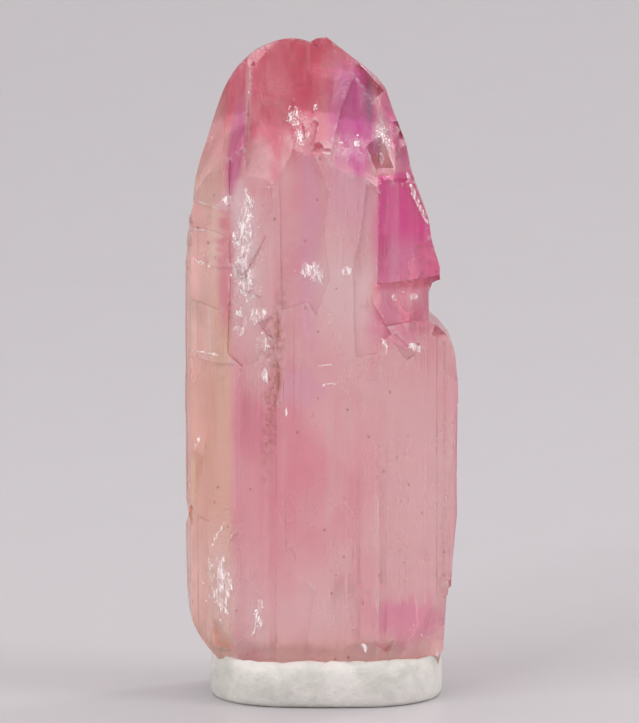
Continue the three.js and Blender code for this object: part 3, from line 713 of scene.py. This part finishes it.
# %% [markdown]
# Finer marks sit on the zones: straight growth bands, milky streaks, iron stain in the open groove, a few
# dark specks, and white where the stone is broken. A pale highlight is painted along the ledges. The specks
# are the centres of cells in a Voronoi pattern, cut off so small that only some of them show.

# %% Bands, streaks, stains and specks
bands = noise_node(tree, stone_place(tree, (1.5, 0.4, 0.012)), 1.0, 2.0, 0.6)
colour = mix_colour(tree, ramp_node(tree, bands.outputs[0], 0.47, 0.56, 0.0, 0.08), colour, MILK)
streaks = noise_node(tree, stone_place(tree, (3.0, 0.7, 0.25)), 1.0, 3.0, 0.65)
colour = mix_colour(tree, ramp_node(tree, streaks.outputs[0], 0.5, 0.75, 0.0, 0.16), colour, MILK)

wrinkled = zone_share(tree, place, 1.0, -4.5, 18.3, 0.85, 1.9, 0.4, 0.05)
wrinkles = noise_node(tree, stone_place(tree, (0.5, 0.5, 2.6)), 1.0, 2.0, 0.5)
wrinkle_share = ramp_node(tree, wrinkles.outputs[0], 0.47, 0.56, 0.0, 0.75)
colour = mix_colour(tree, math_node(tree, "MULTIPLY", wrinkled, wrinkle_share), colour, IVORY)

groove = zone_share(tree, place, 1.0, -1.8, 12.7, 0.3, 3.5, 0.7, 0.09)
grit = noise_node(tree, place, 4.5, 3.0, 0.7)
stain = math_node(tree, "MULTIPLY", groove, ramp_node(tree, grit.outputs[0], 0.44, 0.6, 0.1, 0.8))
colour = mix_colour(tree, stain, colour, IRON_BROWN)

cells = tree.nodes.new("ShaderNodeTexVoronoi")
cells.inputs["Scale"].default_value = 1.5
tree.links.new(place, cells.inputs["Vector"])
speck_share = ramp_node(tree, cells.outputs["Distance"], 0.06, 0.1, 0.9, 0.0)
colour = mix_colour(tree, speck_share, colour, IRON_BROWN)

# %% White breaks, and painted highlights on the ledges
torn = noise_node(tree, stone_place(tree, (3.4, 3.4, 1.5)), 1.0, 4.0, 0.75)
torn_mask = ramp_node(tree, torn.outputs[0], 0.42, 0.6)
whitening = math_node(tree, "MULTIPLY", noted(tree, "hackle"), torn_mask)
colour = mix_colour(tree, math_node(tree, "MULTIPLY", whitening, 0.75), colour, MILK)
# painted highlight: the convex ledges are whitened in patches, as if they caught the light
ledge_highlight_share = ramp_node(tree, grit.outputs[0], 0.48, 0.62, 0.0, 0.75)
colour = mix_colour(tree, math_node(tree, "MULTIPLY", noted(tree, "ledge"), ledge_highlight_share), colour, MILK)
tree.links.new(colour, shader.inputs["Base Color"])

# %% [markdown]
# The faces are glassy but not polished: fine growth lines scatter the light, and the glass is frosted in
# patches. The bump reads lines drawn out along the crystal, grain, and the whitened breaks, which stand out
# more.

# %% The stone's polish and clarity
lines = noise_node(tree, stone_place(tree, (9.0, 9.0, 0.35)), 1.0, 2.0, 0.6)
frost = noise_node(tree, stone_place(tree, (0.8, 0.8, 0.5)), 1.0, 2.0, 0.6)
tree.links.new(ramp_node(tree, frost.outputs[0], 0.35, 0.65, 0.10, 0.28), shader.inputs["Roughness"])
height = math_node(tree, "MULTIPLY", lines.outputs[0], 0.6)
height = math_node(tree, "MULTIPLY_ADD", grain_node(tree, place, 1.6), 0.25, height)
height = math_node(tree, "MULTIPLY_ADD", whitening, 1.6, height)
bumped(tree, shader, height, 0.4, 0.035)
shader.inputs["IOR"].default_value = 1.69  # zoisite's
shader.inputs["Transmission Weight"].default_value = 0.72
absorb = tree.nodes.new("ShaderNodeVolumeAbsorption")
absorb.inputs["Color"].default_value = (0.97, 0.60, 0.63, 1.0)
absorb.inputs["Density"].default_value = 40.0
tree.links.new(absorb.outputs[0], tree.nodes["Material Output"].inputs["Volume"])
print("the stone's material has", len(tree.nodes), "nodes")

# %% [markdown]
# ## Finishes of the fractures, the painted glints and the putty
# A feather, and each glint sheet, is pale and streaked, and its streaks let the stone's colour through. A
# facet is as white, a painted glint, and smoother. Putty is matt, with chalk grain, fine skin lines from the
# fingers and a little grey dust.

# %% The finish of the feathers, and the white of the painted glints
# the same pale colours make the feathers and the painted glint sheets
FEATHER_AND_GLINT_PINK, FEATHER_AND_GLINT_WHITE = (0.97, 0.82, 0.82), (1.0, 0.96, 0.95)
GLINT_PINK, GLINT_WHITE = (0.96, 0.74, 0.78), (1.0, 0.97, 0.96)
veil, tree, shader = new_material("fracture_and_glint_white")
streaky = noise_node(tree, stone_place(tree, (9.0, 9.0, 2.6)), 1.0, 4.0, 0.75)
tree.links.new(ramp_node(tree, streaky.outputs[0], 0.4, 0.64, 0.0, 0.9), shader.inputs["Alpha"])
tone = mix_colour(tree, streaky.outputs[0], FEATHER_AND_GLINT_PINK, FEATHER_AND_GLINT_WHITE)
tree.links.new(tone, shader.inputs["Base Color"])
tree.links.new(ramp_node(tree, streaky.outputs[0], 0.3, 0.7, 0.4, 0.2), shader.inputs["Roughness"])

# painted highlight: the facets are near white so that they show as glints
spark, tree, shader = new_material("painted_glint_white")
shade = noise_node(tree, stone_place(tree), 6.0, 2.0, 0.5)
tree.links.new(mix_colour(tree, shade.outputs[0], GLINT_PINK, GLINT_WHITE), shader.inputs["Base Color"])
tree.links.new(ramp_node(tree, shade.outputs[0], 0.3, 0.7, 0.08, 0.25), shader.inputs["Roughness"])

# %% The putty's finish
PUTTY_SHADE, PUTTY_WHITE, DUST_GREY = (0.54, 0.53, 0.485), (0.67, 0.635, 0.60), (0.40, 0.38, 0.35)
clay, tree, shader = new_material("white_putty_clay")
place = stone_place(tree)
mottle = noise_node(tree, place, 0.7, 4.0, 0.6)
tone = mix_colour(tree, ramp_node(tree, mottle.outputs[0], 0.35, 0.65), PUTTY_SHADE, PUTTY_WHITE)
dust = noise_node(tree, place, 9.0, 2.0, 0.6)
tone = mix_colour(tree, ramp_node(tree, dust.outputs[0], 0.66, 0.74, 0.0, 0.5), tone, DUST_GREY)
tree.links.new(tone, shader.inputs["Base Color"])
skin = tree.nodes.new("ShaderNodeTexWave")
skin.inputs["Scale"].default_value = 0.9
skin.inputs["Distortion"].default_value = 6.0
skin.inputs["Detail"].default_value = 2.0
tree.links.new(stone_place(tree, (0.35, 0.35, 1.4)), skin.inputs["Vector"])
height = math_node(tree, "MULTIPLY_ADD", skin.outputs[1], 0.25, grain_node(tree, place, 3.5))
bumped(tree, shader, height, 0.5, 0.08)
tree.links.new(ramp_node(tree, mottle.outputs[0], 0.3, 0.7, 0.48, 0.7), shader.inputs["Roughness"])
shader.inputs["Subsurface Weight"].default_value = 0.15
shader.inputs["Subsurface Radius"].default_value = (0.6 * MM, 0.5 * MM, 0.45 * MM)
shader.inputs["Subsurface Scale"].default_value = 1.0
print("materials:", [material.name for material in bpy.data.materials])

# %% [markdown]
# Nothing on the specimen moves, so every piece rides on the one body. The fine crystal and the pressed putty
# take the place of their CAD solids. The feathers and facets belong to the stone and only lie on it.

# %% Dress the pieces and tie them to the frame
for piece, material, node, slot_name in (
    (crystal, stone, "crystal", "pink_zoisite"),
    (putty, clay, "putty_pad", "white_putty"),
    (feathers, veil, None, "pink_zoisite"),
    (flakes, spark, None, "pink_zoisite"),
):
    piece.data.materials.append(material)
    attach(piece, "root")
    if node:
        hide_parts(node)

# %% [markdown]
# ## Table, light and camera
# The specimen stands on a pale, slightly glossy sheet that curves up behind it, so no horizon shows. Large
# soft lights from the upper left, the right and above fill the stone with light, and two small bright ones,
# one in front and one behind, strike glints from its ledges and facets.

# %% The paper sweep
SWEEP_FRONT, SWEEP_BACK, SWEEP_BEND, SWEEP_TOP = -0.6, 0.10, 0.55, 0.9  # in metres, as is the next one
SWEEP_HALF_WIDTH = 0.9
SWEEP_STEPS = 24
PAPER_SHADE, PAPER_WHITE = (0.437, 0.416, 0.428), (0.457, 0.436, 0.448)

outline = [(SWEEP_FRONT, 0), (SWEEP_BACK, 0)]
for step in range(1, SWEEP_STEPS + 1):
    turn = step / SWEEP_STEPS * math.pi / 2
    outline.append((SWEEP_BACK + SWEEP_BEND * math.sin(turn), SWEEP_BEND * (1 - math.cos(turn))))
outline.append((SWEEP_BACK + SWEEP_BEND, SWEEP_TOP))
sweep_bm = bmesh.new()
path = [sweep_bm.verts.new((-SWEEP_HALF_WIDTH, y, z)) for y, z in outline]
edges = [sweep_bm.edges.new(pair) for pair in zip(path, path[1:])]
grown = bmesh.ops.extrude_edge_only(sweep_bm, edges=edges)["geom"]
far_side = [part for part in grown if isinstance(part, bmesh.types.BMVert)]
bmesh.ops.translate(sweep_bm, verts=far_side, vec=(2 * SWEEP_HALF_WIDTH, 0, 0))
bmesh.ops.recalc_face_normals(sweep_bm, faces=sweep_bm.faces)
sweep = finished("paper_sweep", sweep_bm)
paper, tree, shader = new_material("pale_paper")
fibre = noise_node(tree, stone_place(tree), 0.35, 4.0, 0.6)
tone = mix_colour(tree, fibre.outputs[0], PAPER_SHADE, PAPER_WHITE)
tree.links.new(tone, shader.inputs["Base Color"])
shader.inputs["Roughness"].default_value = 0.28
shader.inputs["Specular IOR Level"].default_value = 0.45
sweep.data.materials.append(paper)


# %% The lights
MIDDLE = Vector((0, 0, 0.013))  # the stone's middle, in metres, which the lights face


def soft_light(name, place, size, power):
    """A softbox at a place, with its width and height, in metres, and its power in watts."""
    data = bpy.data.lights.new(name, "AREA")
    data.shape = "RECTANGLE"
    data.size, data.size_y = size
    data.energy = power
    lamp = bpy.data.objects.new(name, data)
    lamp.location = place
    lamp.rotation_euler = (MIDDLE - Vector(place)).to_track_quat("-Z", "Y").to_euler()
    scene.collection.objects.link(lamp)


soft_light("left_softbox", (-0.32, -0.22, 0.30), (0.28, 0.28), 1.0)
soft_light("right_softbox", (0.34, -0.10, 0.20), (0.16, 0.30), 0.75)
soft_light("top_softbox", (0.0, 0.08, 0.45), (0.40, 0.30), 1.0)
soft_light("front_glint", (-0.16, -0.30, 0.22), (0.05, 0.05), 0.28)
soft_light("back_glint", (0.20, 0.16, 0.28), (0.05, 0.05), 0.25)
print("lights:", [lamp.name for lamp in bpy.data.lights])

# %% The room
world = bpy.data.worlds.new("soft_room")
scene.world = world
world.use_nodes = True
room = world.node_tree.nodes["Background"]
room.inputs["Color"].default_value = (0.80, 0.77, 0.79, 1.0)
room.inputs["Strength"].default_value = 0.71
scene.view_settings.view_transform = "Standard"

# %% [markdown]
# The photo looks a little down on the specimen from some way off, so the lens is long and set close to level.
# A long lens keeps the crystal's upright edges parallel.

# %% The camera
CAMERA_DISTANCE = 0.193
CAMERA_RISE = math.radians(7)
AIM = Vector((-0.06, 0, 12.80)) * MM
lens = bpy.data.cameras.new("camera")
lens.lens = 250
lens.sensor_width = 36
lens.clip_start, lens.clip_end = 0.01, 5
camera = bpy.data.objects.new("camera", lens)
back = Vector((0, -math.cos(CAMERA_RISE), math.sin(CAMERA_RISE)))
camera.location = AIM + back * CAMERA_DISTANCE
camera.rotation_euler = (-back).to_track_quat("-Z", "Y").to_euler()
scene.collection.objects.link(camera)
scene.camera = camera
